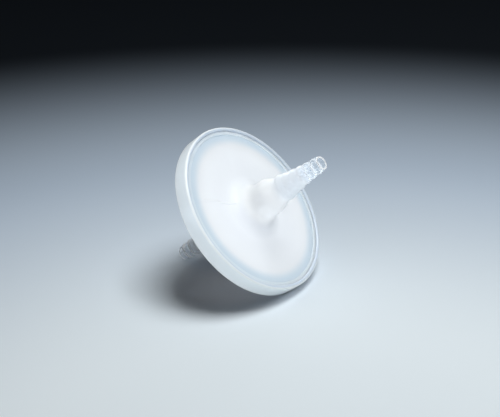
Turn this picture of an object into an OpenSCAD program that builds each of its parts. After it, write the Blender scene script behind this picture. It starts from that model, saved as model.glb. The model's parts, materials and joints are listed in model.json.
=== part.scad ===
// Sealed in-line disc filter with a stepped hose barb on each side.
// It lies as it comes to rest: on the rim band and on the tip of the outlet barb.

/* [Disc] */
// Outside diameter over the rim band
disc_d = 60; // [57:1:70]
// Width of the rim band, crest to crest
disc_w = 5.8; // [5.4:0.1:7]
// Diameter of the filter membrane
membrane_d = 50; // [44:1:53]
// Wall of the shell
wall = 1.25; // [1:0.05:1.5]
// Depth of the small flats that it rests on, which keep it from rolling
rest_flat = 0.15; // [0.1:0.01:0.3]

/* [Rim band] */
// Radial thickness of the seal band
band_t = 1.5; // [1.3:0.1:2]
// Height of the band's crest above the flange
crest_h = 0.55; // [0.3:0.05:0.6]
// Depth of the face below the band's crest
face_depth = 0.85; // [0.7:0.05:1]
// Thickness of the band's inner tongue between the two flanges
tongue_w = 1; // [0.6:0.1:1.4]
// Depth of the band's inner tongue
tongue_l = 1.2; // [0.6:0.1:1.6]

/* [Hub] */
// Radius of the hub above the flare
hub_r = 6.1; // [5.5:0.1:7]
// Radius of the fillet that flares the hub into the face
flare_r = 6.05; // [5:0.05:7]
// Length of the straight part of the hub
hub_l = 2.5; // [1:0.1:4]

/* [Barb] */
// Length over both barb tips
length = 69.3; // [66:0.1:76]
// Radius of the largest crest, next to the hub's shoulder
root_crest_r = 4.6; // [4.4:0.05:5]
// Radius of the smallest crest, next to the tip
tip_crest_r = 2.8; // [2.7:0.05:3]
// Outside radius at the tip
tip_r = 2.4; // [2.3:0.05:2.5]
// Distance between crests
crest_pitch = 2.95; // [2.8:0.05:3.1]
// Depth of the step behind each crest
crest_step = 0.35; // [0.2:0.05:0.45]
// Radius of the bore at the tip
bore_r = 1.85; // [1.5:0.05:1.9]
// Length of the straight part of the bore, from the tip
bore_l = 10.5; // [8:0.5:11]

/* [Filter stack] */
// Thickness of the membrane
membrane_t = 0.2; // [0.1:0.05:0.3]
// Thickness of each support screen
screen_t = 0.3; // [0.2:0.05:0.5]
// Number of support ribs inside the outlet half
ribs = 12; // [8:2:16]
// Thickness of each rib
rib_t = 1; // [0.8:0.1:1.4]

/* [Hidden] */
$fn = 180;

// Rim, from the outside in
disc_r = disc_d / 2;
band_edge_r = 0.6;                        // rounding of the band's crests
crest_z = disc_w / 2;
flange_z = crest_z - crest_h;
face_z = crest_z - face_depth;
flange_r = disc_r - band_t;
flange_w = 1;
step_r = flange_r - flange_w;             // inner edge of the flange
step_run = 0.2;                           // the step down to the face leans inwards
tongue_r = flange_r - tongue_l;
tongue_z = tongue_w / 2;

// Filter stack and the chamber round it
membrane_r = membrane_d / 2;
pocket_gap = 0.2;
pinch = 0.8;                              // the shell pinches this much of the stack's edge
pocket_r = membrane_r + pocket_gap;
chamber_r = membrane_r - pinch;
stack_z = membrane_t / 2 + screen_t;
ceiling_z = face_z - wall;
rib_starts = [7, 12];                     // every second rib stops further out
rib_bite = 0.3;                           // the ribs run this far into the wall

// Barb, counted from the hub: crest 0 is the largest and has the longest land
crests = 6;
crest_growth = 1.4;                       // above 1, the crests grow faster towards the hub
crest_land = 0.3;                         // short cylinder on top of each crest
root_land = 1;
crest_slope = 0.15;                       // length of the step behind a crest
tip_run = 2.8;                            // from the tip to the nearest crest
edge_r = 0.15;
tip_z = length / 2;
root_crest_z = tip_z - tip_run - (crests - 1) * crest_pitch;

// Hub, from the face up to the neck below the first crest
flare_z = face_z + flare_r;               // top of the flare, where the hub is straight
hub_z = flare_z + hub_l;
neck_z = root_crest_z - crest_slope;
neck_r = root_crest_r - crest_step;
throat_r = neck_r - wall;                 // the bore widens to this at the neck
throat_z = neck_z + 0.6;
belly_z = hub_z + 0.4;                    // the cavity is widest from here down

// The part rests on the rim band's rear edge and on the outlet barb's tip
rest_rise = tip_z - edge_r - crest_z + band_edge_r;
rest_run = disc_r - band_edge_r - tip_r + edge_r;
rest_tilt = atan2(rest_run, rest_rise)
    + asin((band_edge_r - edge_r) / sqrt(pow(rest_rise, 2) + pow(rest_run, 2)));
rest_h = (tip_z - edge_r) * sin(rest_tilt) + (tip_r - edge_r) * cos(rest_tilt) + edge_r;

function arc(c, r, a0, a1, n = 8) =
    [for (i = [0:n]) let (a = a0 + (a1 - a0) * i / n) c + r * [cos(a), sin(a)]];
// Smooth S between two points, level at both ends along the first coordinate
function ease(p, q, n = 12) =
    [for (i = [0:n]) let (t = i / n, s = (1 - cos(180 * t)) / 2)
        [p[0] + (q[0] - p[0]) * s, p[1] + (q[1] - p[1]) * t]];

function tooth_r(i) = tip_crest_r + (root_crest_r - tip_crest_r) * pow(1 - i / (crests - 1), crest_growth);
function tooth_z(i) = root_crest_z + i * crest_pitch;
function land(i) = i == 0 ? root_land : crest_land;
// One tooth of the barb: the step behind its crest, the crest and its land
function tooth(i) = [
    [tooth_r(i) - crest_step, tooth_z(i) - crest_slope],
    [tooth_r(i), tooth_z(i)],
    [tooth_r(i), tooth_z(i) + land(i)]
];

// Half sections as [radius, height above the joint plane]
outside = concat(
    [[flange_r, flange_z], [step_r, flange_z], [step_r - step_run, face_z]],
    arc([hub_r + flare_r, flare_z], flare_r, 270, 180, 16),
    ease([hub_r, hub_z], [neck_r, neck_z]),
    [for (i = [0:crests - 1]) each tooth(i)],
    arc([tip_r - edge_r, tip_z - edge_r], edge_r, 0, 90, 4),
    arc([bore_r + edge_r, tip_z - edge_r], edge_r, 90, 180, 4)
);
cavity = concat(
    [[bore_r, tip_z - bore_l]],
    ease([throat_r, throat_z], [hub_r - wall, belly_z]),
    arc([hub_r + flare_r, flare_z], flare_r + wall, 180, 270, 16),
    [[chamber_r, ceiling_z], [chamber_r, stack_z]]
);
joint = [[pocket_r, stack_z], [pocket_r, 0], [tongue_r, 0], [tongue_r, tongue_z], [flange_r, tongue_z]];

module lay() {
    translate([0, 0, rest_h - rest_flat]) rotate([0, 90 - rest_tilt, 0]) children();
}

// Laid, with the little that would reach below the ground cut flat
module rest() {
    difference() {
        lay() children();
        translate([-disc_d, -disc_d, -disc_d]) cube([2 * disc_d, 2 * disc_d, disc_d]);
    }
}

// One half of the shell, with its joint face down
module half_shell() {
    rotate_extrude() polygon(concat(outside, cavity, joint));
}

// Room between the filter stack and the shell's ceiling, and a little of the wall
module rib_room() {
    room_r = chamber_r + rib_bite;
    rotate_extrude() polygon(concat(
        [[0, flare_z], [0, stack_z], [room_r, stack_z], [room_r, ceiling_z + rib_bite]],
        arc([hub_r + flare_r, flare_z], flare_r + wall - rib_bite, 270, 180, 16)
    ));
}

module rib_fan() {
    intersection() {
        rib_room();
        for (i = [0:ribs - 1]) {
            inner = rib_starts[i % 2];
            rotate([0, 0, i * 360 / ribs])
                translate([inner, -rib_t / 2, 0])
                    cube([disc_r - inner, rib_t, flare_z]);
        }
    }
}

module inlet_housing() {
    color("AliceBlue") lay() half_shell();
}

module outlet_housing() {
    color("AliceBlue") rest() mirror([0, 0, 1]) {
        half_shell();
        rib_fan();
    }
}

// Band with a rounded crest on each side and a tongue that fills the gap between the flanges
module rim_band() {
    upper = concat(
        arc([disc_r - band_edge_r, crest_z - band_edge_r], band_edge_r, 0, 90),
        arc([flange_r + band_edge_r, crest_z - band_edge_r], band_edge_r, 90, 180),
        [[flange_r, tongue_z], [tongue_r, tongue_z]]
    );
    lower = [for (i = [len(upper) - 1:-1:0]) [upper[i][0], -upper[i][1]]];
    color("LightSteelBlue") rest() rotate_extrude() polygon(concat(upper, lower));
}

// One layer of the filter stack, from height z up
module layer(t, z) {
    lay() translate([0, 0, z]) cylinder(r = membrane_r, h = t);
}

module membrane() {
    color("White") layer(membrane_t, -membrane_t / 2);
}

module inlet_screen() {
    color("WhiteSmoke") layer(screen_t, membrane_t / 2);
}

module outlet_screen() {
    color("WhiteSmoke") layer(screen_t, -stack_z);
}

inlet_housing();
outlet_housing();
rim_band();
membrane();
inlet_screen();
outlet_screen();
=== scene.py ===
# In-line disc filter: two milky shells with stepped hose barbs, a seal band and the filter stack inside
import json
import math

import bmesh
import bpy
from mathutils import Matrix, Vector


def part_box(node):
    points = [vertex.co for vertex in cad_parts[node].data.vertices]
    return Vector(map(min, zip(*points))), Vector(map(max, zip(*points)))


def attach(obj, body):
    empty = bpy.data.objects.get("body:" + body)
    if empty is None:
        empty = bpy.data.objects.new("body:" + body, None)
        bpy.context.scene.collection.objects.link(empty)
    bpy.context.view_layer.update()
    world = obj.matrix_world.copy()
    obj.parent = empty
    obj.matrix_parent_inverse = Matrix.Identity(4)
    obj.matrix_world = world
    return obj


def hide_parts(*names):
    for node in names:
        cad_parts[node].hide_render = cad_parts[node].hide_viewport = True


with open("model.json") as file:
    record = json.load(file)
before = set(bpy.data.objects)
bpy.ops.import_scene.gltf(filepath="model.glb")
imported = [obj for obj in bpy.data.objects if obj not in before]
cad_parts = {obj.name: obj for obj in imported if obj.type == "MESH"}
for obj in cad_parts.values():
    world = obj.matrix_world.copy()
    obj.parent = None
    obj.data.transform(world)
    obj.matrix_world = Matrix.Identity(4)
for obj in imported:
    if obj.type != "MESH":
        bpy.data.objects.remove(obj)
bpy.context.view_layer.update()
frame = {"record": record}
print("frame loaded")

mm = 0.001
same = 1e-4  # points nearer than this, in mm, are one point
smoothUpTo = math.radians(35)
roundSteps = 4  # faces across a rounded corner
mounts = {m["name"]: m for m in frame["record"]["mounts"]}
discAxis = Vector(mounts["inlet_barb"]["axis"])
discCentre = (Vector(mounts["inlet_barb"]["pos_m"]) + Vector(mounts["outlet_barb"]["pos_m"])) / 2
discLean = math.atan2(discAxis.x, discAxis.z)  # the disc is turned this far about Y
boreSpan = mounts["inlet_bore"]["dims"]


def nodeRadius(node):  # every node is round about the same axis, so its width along Y is its diameter
    low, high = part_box(node)
    return (high.y - low.y) / 2 / mm


# Sizes of one half, in mm, as [radius, height above the joint plane]
shell = dict(
    bandR=nodeRadius("rim_band"),
    flangeR=nodeRadius("inlet_housing"),
    membraneR=nodeRadius("membrane"),
    crestZ=2.9,
    flangeZ=2.35,
    faceZ=2.05,
    flangeW=1.0,
    flangeRound=0.12,
    stepRun=0.2,
    stepRound=0.08,
    wall=1.25,
    ceilingRound=0.3,
    pinch=0.8,
    pocketGap=0.2,
    stackZ=0.4,
    tongueL=1.2,
    tongueZ=0.5,
    hubR=6.1,
    hubL=2.5,
    bellyUp=0.4,
    flareR=6.05,
    flareSteps=18,
    turns=256,
)
barb = dict(
    rootR=mounts["inlet_barb"]["dims"]["r_mm"],
    tipCrestR=2.8,
    tipR=2.4,
    boreR=boreSpan["r_mm"],
    boreL=10.5,
    throatUp=0.6,
    tipZ=34.65,
    tipRun=2.8,
    pitch=2.95,
    crests=6,
    growth=1.4,
    step=0.35,
    slope=0.15,
    land=0.3,
    rootLand=1.0,
    stepRound=0.06,
    crestRound=0.07,
    landRound=0.08,
    edge=0.15,
    edgeSteps=4,
)
flareCentre = (shell["hubR"] + shell["flareR"], shell["faceZ"] + shell["flareR"])
rootCrestZ = barb["tipZ"] - barb["tipRun"] - (barb["crests"] - 1) * barb["pitch"]  # next to the hub
# The knit line: a faint ridge where two streams of plastic met in the mould
knit = dict(rings=(23.5, 22, 20.5, 19, 17.5, 16, 14.5), turn=239.7, reach=(9, 24), height=0.27, slack=1e-3)
ribs = dict(count=12, starts=(7, 12), width=1.0, bite=0.3, arcSteps=8)


def arcPoints(centre, radius, start, end, steps):
    turn = [math.radians(start + (end - start) * i / steps) for i in range(steps + 1)]
    return [(centre[0] + radius * math.cos(a), centre[1] + radius * math.sin(a)) for a in turn]


def easePoints(start, end, steps=14):  # smooth S from one radius to another, level at both ends
    points = []
    for i in range(steps + 1):
        t = i / steps
        s = (1 - math.cos(math.pi * t)) / 2
        points.append((start[0] + (end[0] - start[0]) * s, start[1] + (end[1] - start[1]) * t))
    return points


def bothSides(upper):  # the outline above the joint plane, and its mirror image below
    return upper + [(p[0], -p[1]) + tuple(p[2:]) for p in reversed(upper)]


def drawOutline(name, outline):  # joins the points with edges; a third number rounds that corner
    bpy.ops.object.select_all(action="DESELECT")
    bpy.ops.mesh.primitive_plane_add(size=1, enter_editmode=True, location=(0, 0, 0))
    obj = bpy.context.object
    obj.name = obj.data.name = name
    bpy.ops.mesh.select_mode(type="VERT")
    bpy.ops.mesh.select_all(action="SELECT")
    bpy.ops.mesh.merge(type="CENTER")
    here = Vector((0, 0, 0))
    for i, point in enumerate(outline):
        there = Vector((point[0], 0, point[1]))
        if i == 0:
            bpy.ops.transform.translate(value=there - here)
        else:
            bpy.ops.mesh.extrude_region_move(TRANSFORM_OT_translate={"value": there - here})
        here = there
    roundings = sorted({point[2] for point in outline if len(point) > 2})
    for rounding in roundings:
        corners = [Vector((p[0], 0, p[1])) for p in outline if len(p) > 2 and p[2] == rounding]
        selectAt(obj, lambda co: any((co - c).length < same for c in corners))
        bpy.ops.mesh.bevel(offset=rounding, segments=roundSteps, affect="VERTICES")
    return obj


def selectAt(obj, test):  # selects the vertices whose place passes the test
    bpy.ops.mesh.select_all(action="DESELECT")
    edit = bmesh.from_edit_mesh(obj.data)
    for v in edit.verts:
        v.select = test(v.co)
    edit.select_flush(True)
    bmesh.update_edit_mesh(obj.data)


def lathe(obj, turns, closed=True):  # turns the outline about the disc's axis
    if closed:
        edit = bmesh.from_edit_mesh(obj.data)
        ends = [v.co.copy() for v in edit.verts if len(v.link_edges) == 1]
        selectAt(obj, lambda co: any((co - e).length < same for e in ends))
        bpy.ops.mesh.edge_face_add()
    bpy.ops.mesh.select_all(action="SELECT")
    bpy.ops.mesh.spin(steps=turns, angle=math.tau, center=(0, 0, 0), axis=(0, 0, 1), use_auto_merge=True)
    bpy.ops.mesh.select_all(action="SELECT")
    bpy.ops.mesh.remove_doubles(threshold=same)
    bpy.ops.mesh.normals_make_consistent(inside=False)
    bpy.ops.object.mode_set(mode="OBJECT")
    return obj


def layDown(obj, flipped=False):  # from mm about the disc's axis to metres in the frame, place in the mesh
    bpy.ops.object.select_all(action="DESELECT")
    obj.select_set(True)
    bpy.context.view_layer.objects.active = obj
    flip = Matrix.Diagonal((1, 1, -1 if flipped else 1, 1))
    lean = Matrix.Translation(discCentre) @ Matrix.Rotation(discLean, 4, "Y")
    obj.data.transform(lean @ Matrix.Scale(mm, 4) @ flip)
    bpy.ops.object.mode_set(mode="EDIT")
    bpy.ops.mesh.select_all(action="SELECT")
    bpy.ops.mesh.normals_make_consistent(inside=False)
    bpy.ops.object.mode_set(mode="OBJECT")
    bpy.ops.object.shade_smooth_by_angle(angle=smoothUpTo)
    return obj


def cutFlat(obj):  # what reaches below the ground is the small flat that the filter rests on
    bpy.ops.object.mode_set(mode="EDIT")
    bpy.ops.mesh.select_all(action="SELECT")
    bpy.ops.mesh.bisect(
        plane_co=(0, 0, 0), plane_no=(0, 0, 1), threshold=same * mm, clear_inner=True, use_fill=True)
    bpy.ops.object.mode_set(mode="OBJECT")
    bpy.ops.object.shade_smooth_by_angle(angle=smoothUpTo)
    return obj


def crestR(i):  # crests are counted from the hub
    share = (1 - i / (barb["crests"] - 1)) ** barb["growth"]
    return barb["tipCrestR"] + (barb["rootR"] - barb["tipCrestR"]) * share


def shellOutline():
    s, b = shell, barb
    stepR = s["flangeR"] - s["flangeW"]
    hubZ = flareCentre[1] + s["hubL"]
    neck = (b["rootR"] - b["step"], rootCrestZ - b["slope"])
    ceilingZ = s["faceZ"] - s["wall"]
    chamberR = s["membraneR"] - s["pinch"]
    pocketR = s["membraneR"] + s["pocketGap"]
    tongueR = s["flangeR"] - s["tongueL"]

    outside = [(s["flangeR"], s["flangeZ"]), (stepR, s["flangeZ"], s["flangeRound"])]
    outside += [(stepR - s["stepRun"], s["faceZ"], s["stepRound"])]
    outside += [(r, s["faceZ"]) for r in knit["rings"]]
    outside += arcPoints(flareCentre, s["flareR"], 270, 180, s["flareSteps"])
    outside += easePoints((s["hubR"], hubZ), neck)[:-1]
    for i in range(b["crests"]):
        z = rootCrestZ + i * b["pitch"]
        land = b["rootLand"] if i == 0 else b["land"]
        outside += [(crestR(i) - b["step"], z - b["slope"], b["stepRound"])]
        outside += [(crestR(i), z, b["crestRound"]), (crestR(i), z + land, b["landRound"])]
    edge = b["edge"]
    outside += arcPoints((b["tipR"] - edge, b["tipZ"] - edge), edge, 0, 90, b["edgeSteps"])
    outside += arcPoints((b["boreR"] + edge, b["tipZ"] - edge), edge, 90, 180, b["edgeSteps"])

    inside = [(b["boreR"], b["tipZ"] - b["boreL"])]
    throat = (neck[0] - s["wall"], neck[1] + b["throatUp"])
    inside += easePoints(throat, (s["hubR"] - s["wall"], hubZ + s["bellyUp"]))
    inside += arcPoints(flareCentre, s["flareR"] + s["wall"], 180, 270, s["flareSteps"])
    inside += [(chamberR, ceilingZ, s["ceilingRound"]), (chamberR, s["stackZ"])]
    inside += [(pocketR, s["stackZ"]), (pocketR, 0)]
    inside += [(tongueR, 0), (tongueR, s["tongueZ"]), (s["flangeR"], s["tongueZ"])]
    return outside + inside


def raiseKnit(obj):  # faint ridge along one radius of the face
    bpy.ops.object.mode_set(mode="EDIT")
    step = math.tau / shell["turns"]
    turn = round(math.radians(knit["turn"]) / step) * step
    inner, outer = knit["reach"]
    outward = Vector((math.cos(turn), math.sin(turn), 0))

    def onLine(co):
        r = math.hypot(co.x, co.y)
        across = (co - outward * r).xy.length
        return inner < r < outer and across < knit["slack"] and co.z > shell["faceZ"] - knit["slack"]

    selectAt(obj, onLine)
    bpy.ops.transform.translate(value=(0, 0, knit["height"]))
    bpy.ops.object.mode_set(mode="OBJECT")


def makeRib(inner):  # flat bar from the flow chamber's floor up into the wall
    s = shell
    reach = s["flareR"] + s["wall"] - ribs["bite"]
    top = s["faceZ"] - s["wall"] + ribs["bite"]
    outer = s["membraneR"] - s["pinch"] + ribs["bite"]
    lean = math.degrees(math.acos((flareCentre[0] - inner) / reach))
    outline = [(inner, s["stackZ"]), (outer, s["stackZ"]), (outer, top)]
    outline += arcPoints(flareCentre, reach, 270, 180 + lean, ribs["arcSteps"])
    rib = drawOutline("rib", outline)
    bpy.ops.mesh.select_all(action="SELECT")
    bpy.ops.mesh.edge_face_add()
    bpy.ops.transform.translate(value=(0, -ribs["width"] / 2, 0))
    bpy.ops.mesh.extrude_region_move(TRANSFORM_OT_translate={"value": (0, ribs["width"], 0)})
    bpy.ops.mesh.select_all(action="SELECT")
    bpy.ops.mesh.normals_make_consistent(inside=False)
    bpy.ops.object.mode_set(mode="OBJECT")
    return rib


def addRibs(obj):  # the outlet half carries the filter stack on a fan of ribs
    models = [makeRib(inner) for inner in ribs["starts"]]
    bpy.ops.object.select_all(action="DESELECT")
    for i in range(ribs["count"]):
        rib = models[i % 2].copy()
        rib.data = models[i % 2].data.copy()
        rib.data.transform(Matrix.Rotation(math.tau * i / ribs["count"], 4, "Z"))
        bpy.context.collection.objects.link(rib)
        rib.select_set(True)
        bpy.context.view_layer.objects.active = rib
    bpy.ops.object.join()
    fan = bpy.context.object
    union = obj.modifiers.new("ribs", "BOOLEAN")
    union.operation = "UNION"
    union.object = fan
    bpy.ops.object.select_all(action="DESELECT")
    obj.select_set(True)
    bpy.context.view_layer.objects.active = obj
    bpy.ops.object.modifier_apply(modifier=union.name)
    for spare in models + [fan]:
        bpy.data.objects.remove(spare)


def makeShell(name, outlet):
    obj = lathe(drawOutline(name, shellOutline()), shell["turns"])
    if outlet:
        addRibs(obj)
    else:
        raiseKnit(obj)
    return layDown(obj, flipped=outlet)


inletShell = makeShell("inletShell", outlet=False)
outletShell = cutFlat(makeShell("outletShell", outlet=True))
print("shells", len(inletShell.data.polygons), len(outletShell.data.polygons))

band = dict(edge=0.6, edgeSteps=10, tongueRound=0.05, turns=256)


def makeBand():
    s = shell
    edge = band["edge"]
    top = s["crestZ"] - edge
    upper = arcPoints((s["bandR"] - edge, top), edge, 0, 90, band["edgeSteps"])
    upper += arcPoints((s["flangeR"] + edge, top), edge, 90, 180, band["edgeSteps"])
    upper += [(s["flangeR"], s["tongueZ"])]
    upper += [(s["flangeR"] - s["tongueL"], s["tongueZ"], band["tongueRound"])]
    return layDown(lathe(drawOutline("sealBand", bothSides(upper)), band["turns"]))


sealBand = cutFlat(makeBand())
print("band", len(sealBand.data.polygons))

film = dict(faceZ=0.1, pinchedZ=0.07, pinchedW=0.9, pinchRun=0.4, rings=6, edgeRound=0.03, turns=160)


def makeFilm():  # the edge of the film is pinched between the two halves
    edgeR = shell["membraneR"]
    pinchR = edgeR - film["pinchedW"]
    upper = [(pinchR * i / film["rings"], film["faceZ"]) for i in range(film["rings"])]
    upper += [(pinchR - film["pinchRun"], film["faceZ"]), (pinchR, film["pinchedZ"])]
    upper += [(edgeR, film["pinchedZ"], film["edgeRound"])]
    return layDown(lathe(drawOutline("membraneFilm", bothSides(upper)), film["turns"], closed=False))


membraneFilm = makeFilm()
print("film", len(membraneFilm.data.polygons))

net = dict(cells=34, strand=0.3, hoopW=1.1, hoopRound=0.06, cuts=48, turns=160)


def makeNet(name, outlet):  # square net cut to a circle, with a hoop round it
    edgeR = shell["membraneR"]
    netR = edgeR - net["hoopW"] / 2
    high = shell["stackZ"]
    low = high - net["strand"]
    bpy.ops.object.select_all(action="DESELECT")
    bpy.ops.mesh.primitive_grid_add(
        x_subdivisions=net["cells"], y_subdivisions=net["cells"], size=2 * netR,
        enter_editmode=True, location=(0, 0, 0))
    obj = bpy.context.object
    obj.name = obj.data.name = name
    for i in range(net["cuts"]):
        turn = math.tau * i / net["cuts"]
        outward = Vector((math.cos(turn), math.sin(turn), 0))
        bpy.ops.mesh.select_all(action="SELECT")
        bpy.ops.mesh.bisect(plane_co=outward * netR, plane_no=outward, clear_outer=True)
    bpy.ops.mesh.select_all(action="SELECT")
    bpy.ops.transform.translate(value=(0, 0, (low + high) / 2))
    bpy.ops.object.mode_set(mode="OBJECT")
    strands = obj.modifiers.new("strands", "WIREFRAME")
    strands.thickness = net["strand"]
    strands.use_even_offset = False
    strands.use_boundary = True
    bpy.ops.object.modifier_apply(modifier=strands.name)
    hoop = [(edgeR - net["hoopW"], low), (edgeR, low, net["hoopRound"])]
    hoop += [(edgeR, high, net["hoopRound"]), (edgeR - net["hoopW"], high)]
    lathe(drawOutline("hoop", hoop), net["turns"])
    obj.select_set(True)
    bpy.context.view_layer.objects.active = obj
    bpy.ops.object.join()
    return layDown(obj, flipped=outlet)


inletNet = makeNet("inletNet", outlet=False)
outletNet = makeNet("outletNet", outlet=True)
print("nets", len(inletNet.data.polygons), len(outletNet.data.polygons))


def newGroup(name, takes, gives):
    group = bpy.data.node_groups.new(name, "ShaderNodeTree")
    for socket in takes:
        group.interface.new_socket(socket, in_out="INPUT", socket_type="NodeSocketFloat")
    for socket in gives:
        group.interface.new_socket(socket, in_out="OUTPUT", socket_type="NodeSocketFloat")
    return group


def placeOnDisc(tree):  # distance from the disc's axis and from its joint plane, in mm
    nodes, links = tree.nodes, tree.links
    place = nodes.new("ShaderNodeTexCoord")
    own = nodes.new("ShaderNodeMapping")
    own.vector_type = "TEXTURE"
    own.inputs["Location"].default_value = discCentre
    own.inputs["Rotation"].default_value = (0, discLean, 0)
    own.inputs["Scale"].default_value = (mm, mm, mm)
    level = nodes.new("ShaderNodeVectorMath")
    level.operation = "MULTIPLY"
    level.inputs[1].default_value = (1, 1, 0)
    radius = nodes.new("ShaderNodeVectorMath")
    radius.operation = "LENGTH"
    parts = nodes.new("ShaderNodeSeparateXYZ")
    reach = nodes.new("ShaderNodeMath")
    reach.operation = "ABSOLUTE"
    links.new(place.outputs["Object"], own.inputs["Vector"])
    links.new(own.outputs["Vector"], level.inputs[0])
    links.new(level.outputs["Vector"], radius.inputs[0])
    links.new(own.outputs["Vector"], parts.inputs["Vector"])
    links.new(parts.outputs["Z"], reach.inputs[0])
    return {"Radius": radius.outputs["Value"], "Reach": reach.outputs["Value"]}


def discGroup():
    group = newGroup("discPlaces", [], ["Radius", "Reach"])
    leave = group.nodes.new("NodeGroupOutput")
    for name, distance in placeOnDisc(group).items():
        group.links.new(distance, leave.inputs[name])
    return group


def mouldedGroup():  # clouds and fine grain that every moulded surface shares
    group = newGroup("mouldedSurface", ["Cloud Scale", "Grain Scale"], ["Cloud", "Grain"])
    nodes, links = group.nodes, group.links
    entry = nodes.new("NodeGroupInput")
    leave = nodes.new("NodeGroupOutput")
    place = nodes.new("ShaderNodeTexCoord")
    for socket, scale, detail in (("Cloud", "Cloud Scale", 0), ("Grain", "Grain Scale", 3)):
        noise = nodes.new("ShaderNodeTexNoise")
        noise.inputs["Detail"].default_value = detail
        links.new(place.outputs["Object"], noise.inputs["Vector"])
        links.new(entry.outputs[scale], noise.inputs["Scale"])
        links.new(noise.outputs["Fac"], leave.inputs[socket])
    return group


discPlaces = discGroup()
moulded = mouldedGroup()


def maskBetween(tree, value, start, end):  # 0 before start, 1 after end
    ramp = tree.nodes.new("ShaderNodeMapRange")
    ramp.interpolation_type = "SMOOTHSTEP"
    ramp.inputs["From Min"].default_value = start
    ramp.inputs["From Max"].default_value = end
    tree.links.new(value, ramp.inputs["Value"])
    return ramp.outputs["Result"]


def remap(tree, mask, low, high):  # a 0 to 1 mask turned into a value between two others
    ramp = tree.nodes.new("ShaderNodeMapRange")
    ramp.inputs["To Min"].default_value = low
    ramp.inputs["To Max"].default_value = high
    tree.links.new(mask, ramp.inputs["Value"])
    return ramp.outputs["Result"]


def blend(tree, mask, base, tone):  # each side is a colour or a socket
    mix = tree.nodes.new("ShaderNodeMix")
    mix.data_type = "RGBA"
    tree.links.new(mask, mix.inputs["Factor"])
    for side, colour in (("A", base), ("B", tone)):
        if isinstance(colour, tuple):
            mix.inputs[side].default_value = colour + (1,)
        else:
            tree.links.new(colour, mix.inputs[side])
    return mix.outputs["Result"]


def largest(tree, masks):
    top = tree.nodes.new("ShaderNodeMath")
    top.operation = "MAXIMUM"
    for mask, side in zip(masks, top.inputs):
        tree.links.new(mask, side)
    return top.outputs["Value"]


# What all the plastics share; the fades are distances in mm from a crest and from the tip
plastic = dict(
    ior=1.49, cloudFade=(0.2, 0.8), facing=0.5, facingFade=(0.5, 0.9), reliefDepth=0.00005,
    crestFade=(0.5, 0.15), endFade=(0.3, 0.1))


def crestRings(tree, reach):  # 1 at each crest and at the tip's end face, where the wall is seen edge on
    start = tree.nodes.new("ShaderNodeMath")
    start.operation = "SUBTRACT"
    start.inputs[1].default_value = rootCrestZ
    tree.links.new(reach, start.inputs[0])
    away = tree.nodes.new("ShaderNodeMath")
    away.operation = "PINGPONG"
    away.inputs[1].default_value = barb["pitch"] / 2
    tree.links.new(start.outputs["Value"], away.inputs[0])
    crest = maskBetween(tree, away.outputs["Value"], *plastic["crestFade"])
    farther, nearer = plastic["endFade"]
    endFace = maskBetween(tree, reach, barb["tipZ"] - farther, barb["tipZ"] - nearer)
    return largest(tree, [crest, endFace])


def letThrough(tree, skin, tint):  # lamps shine into the milky walls, tinted at each surface
    path = tree.nodes.new("ShaderNodeLightPath")
    through = tree.nodes.new("ShaderNodeBsdfTransparent")
    if isinstance(tint, tuple):
        through.inputs["Color"].default_value = tint + (1,)
    else:
        tree.links.new(tint, through.inputs["Color"])
    mix = tree.nodes.new("ShaderNodeMixShader")
    tree.links.new(path.outputs["Is Shadow Ray"], mix.inputs["Fac"])
    tree.links.new(skin.outputs["BSDF"], mix.inputs[1])
    tree.links.new(through.outputs["BSDF"], mix.inputs[2])
    tree.links.new(mix.outputs["Shader"], tree.nodes["Material Output"].inputs["Surface"])


def throughZones(tree, place, base, zones):  # each zone brings in its own tone between two distances
    tone = base
    for name, start, end, other in zones:
        tone = blend(tree, maskBetween(tree, place[name], start, end), tone, other)
    return tone


def clearTip(tree, skin, place, colour, look):  # the thin valleys near the tip are part clear
    start, end, leastSolid = look["clearEnd"]
    thin = maskBetween(tree, place["Reach"], start, end)
    rings = crestRings(tree, place["Reach"])
    facing = tree.nodes.new("ShaderNodeLayerWeight")
    facing.inputs["Blend"].default_value = plastic["facing"]
    grazing = maskBetween(tree, facing.outputs["Facing"], *plastic["facingFade"])
    solid = largest(tree, [grazing, rings])
    seen = tree.nodes.new("ShaderNodeMath")
    seen.operation = "MULTIPLY"
    tree.links.new(thin, seen.inputs[0])
    tree.links.new(remap(tree, solid, 1 - leastSolid, 0), seen.inputs[1])
    tree.links.new(remap(tree, seen.outputs["Value"], 1, 0), skin.inputs["Alpha"])
    # near the tip the crests and end face are painted near white as painted highlights, and the valleys
    # darker as painted shade
    return blend(tree, thin, colour, blend(tree, rings, look["valley"], look["crest"]))


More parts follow.
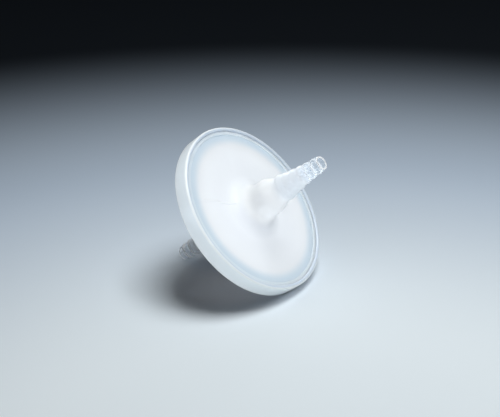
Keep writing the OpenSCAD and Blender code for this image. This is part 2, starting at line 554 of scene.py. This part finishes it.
def plasticMaterial(name, look):
    mat = bpy.data.materials.new(name)
    mat.use_nodes = True
    tree = mat.node_tree
    skin = tree.nodes["Principled BSDF"]
    skin.inputs["IOR"].default_value = plastic["ior"]
    skin.inputs["Specular IOR Level"].default_value = look["gloss"]
    skin.inputs["Sheen Weight"].default_value = look["sheen"]
    skin.inputs["Sheen Roughness"].default_value = look["sheenRough"]
    skin.inputs["Subsurface Weight"].default_value = look["soft"]
    skin.inputs["Subsurface Radius"].default_value = look["scatter"]
    skin.inputs["Subsurface Scale"].default_value = look["depth"]
    surface = tree.nodes.new("ShaderNodeGroup")
    surface.node_tree = moulded
    surface.inputs["Cloud Scale"].default_value = look["cloud"]
    surface.inputs["Grain Scale"].default_value = look["grain"]
    clouds = maskBetween(tree, surface.outputs["Cloud"], *plastic["cloudFade"])
    colour = blend(tree, clouds, look["deep"], look["pale"])
    skin.inputs["Roughness"].default_value = look["rough"]
    if look["zones"]:  # the shell and the band change along the disc's own distances
        place = tree.nodes.new("ShaderNodeGroup")
        place.node_tree = discPlaces
        colour = throughZones(tree, place.outputs, colour, look["zones"])
        if look["clearEnd"]:
            colour = clearTip(tree, skin, place.outputs, colour, look)
        if look["barbRough"]:
            start, end, barbRough = look["barbRough"]
            onBarb = maskBetween(tree, place.outputs["Reach"], start, end)
            tree.links.new(remap(tree, onBarb, look["rough"], barbRough), skin.inputs["Roughness"])
    tree.links.new(colour, skin.inputs["Base Color"])
    relief = tree.nodes.new("ShaderNodeBump")
    relief.inputs["Strength"].default_value = look["relief"]
    relief.inputs["Distance"].default_value = plastic["reliefDepth"]
    tree.links.new(surface.outputs["Grain"], relief.inputs["Height"])
    tree.links.new(relief.outputs["Normal"], skin.inputs["Normal"])
    glow = look["glow"]
    if look["glowZones"]:  # the group of distances feeds the skin alone, so the glow has its own
        glow = throughZones(tree, placeOnDisc(tree), glow, look["glowZones"])
    letThrough(tree, skin, glow)
    return mat


# Each zone is a distance from placeOnDisc, where its tone starts, where it is full, and the tone
shellLook = dict(
    soft=1.0,
    depth=0.003,
    scatter=(1.0, 1.0, 1.0),
    rough=0.5,
    barbRough=(10, 18, 0.28),  # start, end, and how rough the barb is
    gloss=0.4,
    sheen=0.8,
    sheenRough=0.2,
    cloud=70,
    grain=2500,
    relief=0.12,
    deep=(0.81, 0.825, 0.86),
    pale=(0.825, 0.84, 0.87),
    zones=[
        ("Radius", 22, 14, (0.79, 0.805, 0.84)),  # face darker towards the hub flare: painted shade that damps the lamp's bright patch there
        ("Radius", 23, 26.6, (0.655, 0.745, 0.83)),  # clearer ring past the membrane
        ("Reach", 3.2, 6, (0.975, 0.985, 0.995)),  # hub, near white: painted light standing in for light that glows through the thick milky hub
        ("Reach", 13, 19, (0.79, 0.825, 0.86)),  # barb
        ("Radius", 27.2, 27.5, (0.72, 0.805, 0.88)),  # flange
    ],
    glow=(0.905, 0.905, 0.905),
    glowZones=[
        ("Radius", 22.6, 26.6, (0.3, 0.28, 0.25)),
        ("Reach", 2.6, 5, (0.995, 0.995, 0.995)),
        ("Reach", 12, 16, (0.905, 0.905, 0.905)),
    ],
    clearEnd=(26, 30, 0.25),  # start, end, and how solid the thin valleys stay
    # painted highlight on the tip's crests and end face, and painted shade in the clear valleys between
    # them
    crest=(0.92, 0.97, 1.0),
    valley=(0.6, 0.66, 0.72),
)
bandLook = dict(
    shellLook,
    depth=0.0015,
    rough=0.34,
    barbRough=None,
    sheen=1.0,
    sheenRough=0.15,
    deep=(0.825, 0.89, 0.985),
    pale=(0.845, 0.90, 0.99),
    zones=[
        ("Reach", 2.0, 2.5, (0.87, 0.93, 0.98)),  # rounded crests, lighter: painted light where light leaves the band's edges
        ("Radius", 29.7, 29.3, (0.66, 0.73, 0.82)),  # inner half of the crests, darker: painted shade toward the groove at the flange, leaving the outer rounding as a painted bright edge
    ],
    glow=(0.79, 0.79, 0.79),
    glowZones=[("Reach", 1.7, 2.4, (0.3, 0.28, 0.25))],
    clearEnd=None,
)
filmLook = dict(
    soft=0.0,
    depth=0.001,
    scatter=(1, 1, 1),
    rough=0.8,
    gloss=0.3,
    sheen=0.0,
    sheenRough=0.3,
    cloud=60,
    grain=9000,
    relief=0.5,
    deep=(0.93, 0.93, 0.925),
    pale=(0.96, 0.96, 0.955),
    zones=[],
    glow=(0.27, 0.2, 0.12),
    glowZones=[],
)
netLook = dict(
    filmLook,
    rough=0.5,
    grain=4000,
    relief=0.2,
    deep=(0.90, 0.92, 0.93),
    pale=(0.94, 0.95, 0.955),
)
milkyShell = plasticMaterial("milkyShell", shellLook)
milkyBand = plasticMaterial("milkyBand", bandLook)
filterFilm = plasticMaterial("filterFilm", filmLook)
netPlastic = plasticMaterial("netPlastic", netLook)


def dress(obj, material, node):
    obj.data.materials.clear()
    obj.data.materials.append(material)
    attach(obj, "root")
    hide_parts(node)


dress(inletShell, milkyShell, "inlet_housing")
dress(outletShell, milkyShell, "outlet_housing")
dress(sealBand, milkyBand, "rim_band")
dress(membraneFilm, filterFilm, "membrane")
dress(inletNet, netPlastic, "inlet_screen")
dress(outletNet, netPlastic, "outlet_screen")
print("materials")

# the floor runs from the near through the mid to the far colour: a painted falloff of the lamps' light
# around the filter
stage = dict(
    size=4.0, edges=64, rough=0.7, gloss=0.2, toCamera=0.14, toRight=0.02,
    near=(0.905, 0.955, 0.99), mid=(0.50, 0.575, 0.68), far=(0.002, 0.004, 0.007),
    midFade=(0.09, 0.25), farFade=(0.20, 0.40))
view = dict(
    azimuth=28.8, elevation=25, distance=0.45, lens=96.5, nearest=0.01, aim=(-0.00076, 0.00161, 0.02402))
cardTint = (0.92, 0.945, 1)
lamps = dict(
    key=dict(size=(0.3, 0.3), ahead=-0.02, side=0.13, lift=0.62, power=3.45, colour=(0.94, 0.985, 1.0)),
    cardRight=dict(size=(0.4, 0.16), ahead=0.6, side=0.36, lift=0.12, power=0.75, colour=cardTint),
    cardFront=dict(size=(0.3, 0.2), ahead=0.6, side=0.03, lift=0.16, power=0.92, colour=cardTint),
    cardLeft=dict(size=(0.4, 0.06), ahead=0.25, side=-0.55, lift=0.04, power=1.1, colour=cardTint),
    cardBack=dict(size=(0.5, 0.2), ahead=-0.6, side=-0.35, lift=0.3, power=1.4, colour=cardTint),
    cardRim=dict(size=(0.3, 0.2), ahead=0.05, side=-0.3, lift=0.6, power=0.75, colour=cardTint),
)
sky = dict(colour=(1.0, 0.85, 0.68), strength=0.006)

azimuth = math.radians(view["azimuth"])
elevation = math.radians(view["elevation"])
toCamera = Vector((math.sin(azimuth), -math.cos(azimuth), 0))
toRight = Vector((math.cos(azimuth), math.sin(azimuth), 0))
toLens = toCamera * math.cos(elevation) + Vector((0, 0, math.sin(elevation)))


def makeFloor():
    bpy.ops.object.select_all(action="DESELECT")
    bpy.ops.mesh.primitive_circle_add(
        vertices=stage["edges"], radius=stage["size"], fill_type="NGON", location=(0, 0, 0))
    floor = bpy.context.object
    floor.name = "floor"
    mat = bpy.data.materials.new("floorPaintedFalloff")
    mat.use_nodes = True
    tree = mat.node_tree
    nodes, links = tree.nodes, tree.links
    skin = nodes["Principled BSDF"]
    skin.inputs["Roughness"].default_value = stage["rough"]
    skin.inputs["Specular IOR Level"].default_value = stage["gloss"]
    place = nodes.new("ShaderNodeTexCoord")
    centre = nodes.new("ShaderNodeMapping")
    centre.inputs["Location"].default_value = -toCamera * stage["toCamera"] - toRight * stage["toRight"]
    reach = nodes.new("ShaderNodeVectorMath")
    reach.operation = "LENGTH"
    links.new(place.outputs["Object"], centre.inputs["Vector"])
    links.new(centre.outputs["Vector"], reach.inputs[0])
    # pale near the filter and near black farther out: painted falloff of light
    beyond = maskBetween(tree, reach.outputs["Value"], *stage["midFade"])
    farBeyond = maskBetween(tree, reach.outputs["Value"], *stage["farFade"])
    colour = blend(tree, farBeyond, blend(tree, beyond, stage["near"], stage["mid"]), stage["far"])
    links.new(colour, skin.inputs["Base Color"])
    floor.data.materials.append(mat)


def makeLamp(name, pieces=()):  # lights the given pieces alone, or everything
    lamp = lamps[name]
    place = toCamera * lamp["ahead"] + toRight * lamp["side"] + Vector((0, 0, lamp["lift"]))
    bpy.ops.object.light_add(type="AREA", location=place)
    light = bpy.context.object
    light.name = name
    light.data.shape = "RECTANGLE"
    light.data.size, light.data.size_y = lamp["size"]
    light.data.energy = lamp["power"]
    light.data.color = lamp["colour"]
    light.rotation_euler = (discCentre - place).to_track_quat("-Z", "Y").to_euler()
    light.visible_camera = False
    if pieces:
        group = bpy.data.collections.new(name + "Lit")
        for piece in pieces:
            group.objects.link(piece)
        light.light_linking.receiver_collection = group


def makeLights():  # the cards fill in the filter alone, so the floor keeps its deep shadow
    inner = (membraneFilm, inletNet, outletNet)
    makeLamp("key")
    makeLamp("cardFront", (inletShell, sealBand) + inner)
    makeLamp("cardLeft", (inletShell, sealBand) + inner)
    makeLamp("cardRight", (inletShell, outletShell) + inner)
    makeLamp("cardBack", (inletShell, outletShell) + inner)
    makeLamp("cardRim", (sealBand,))
    world = bpy.context.scene.world or bpy.data.worlds.new("world")
    bpy.context.scene.world = world
    world.use_nodes = True
    backdrop = world.node_tree.nodes["Background"]
    backdrop.inputs["Color"].default_value = sky["colour"] + (1,)
    backdrop.inputs["Strength"].default_value = sky["strength"]


def makeCamera():
    aim = Vector(view["aim"])
    bpy.ops.object.camera_add(location=aim + toLens * view["distance"])
    camera = bpy.context.object
    camera.data.lens = view["lens"]
    camera.data.clip_start = view["nearest"]
    camera.rotation_euler = (-toLens).to_track_quat("-Z", "Y").to_euler()
    bpy.context.scene.camera = camera


makeFloor()
makeLights()
makeCamera()
bpy.context.scene.view_settings.view_transform = "Standard"
print("stage, light and camera")
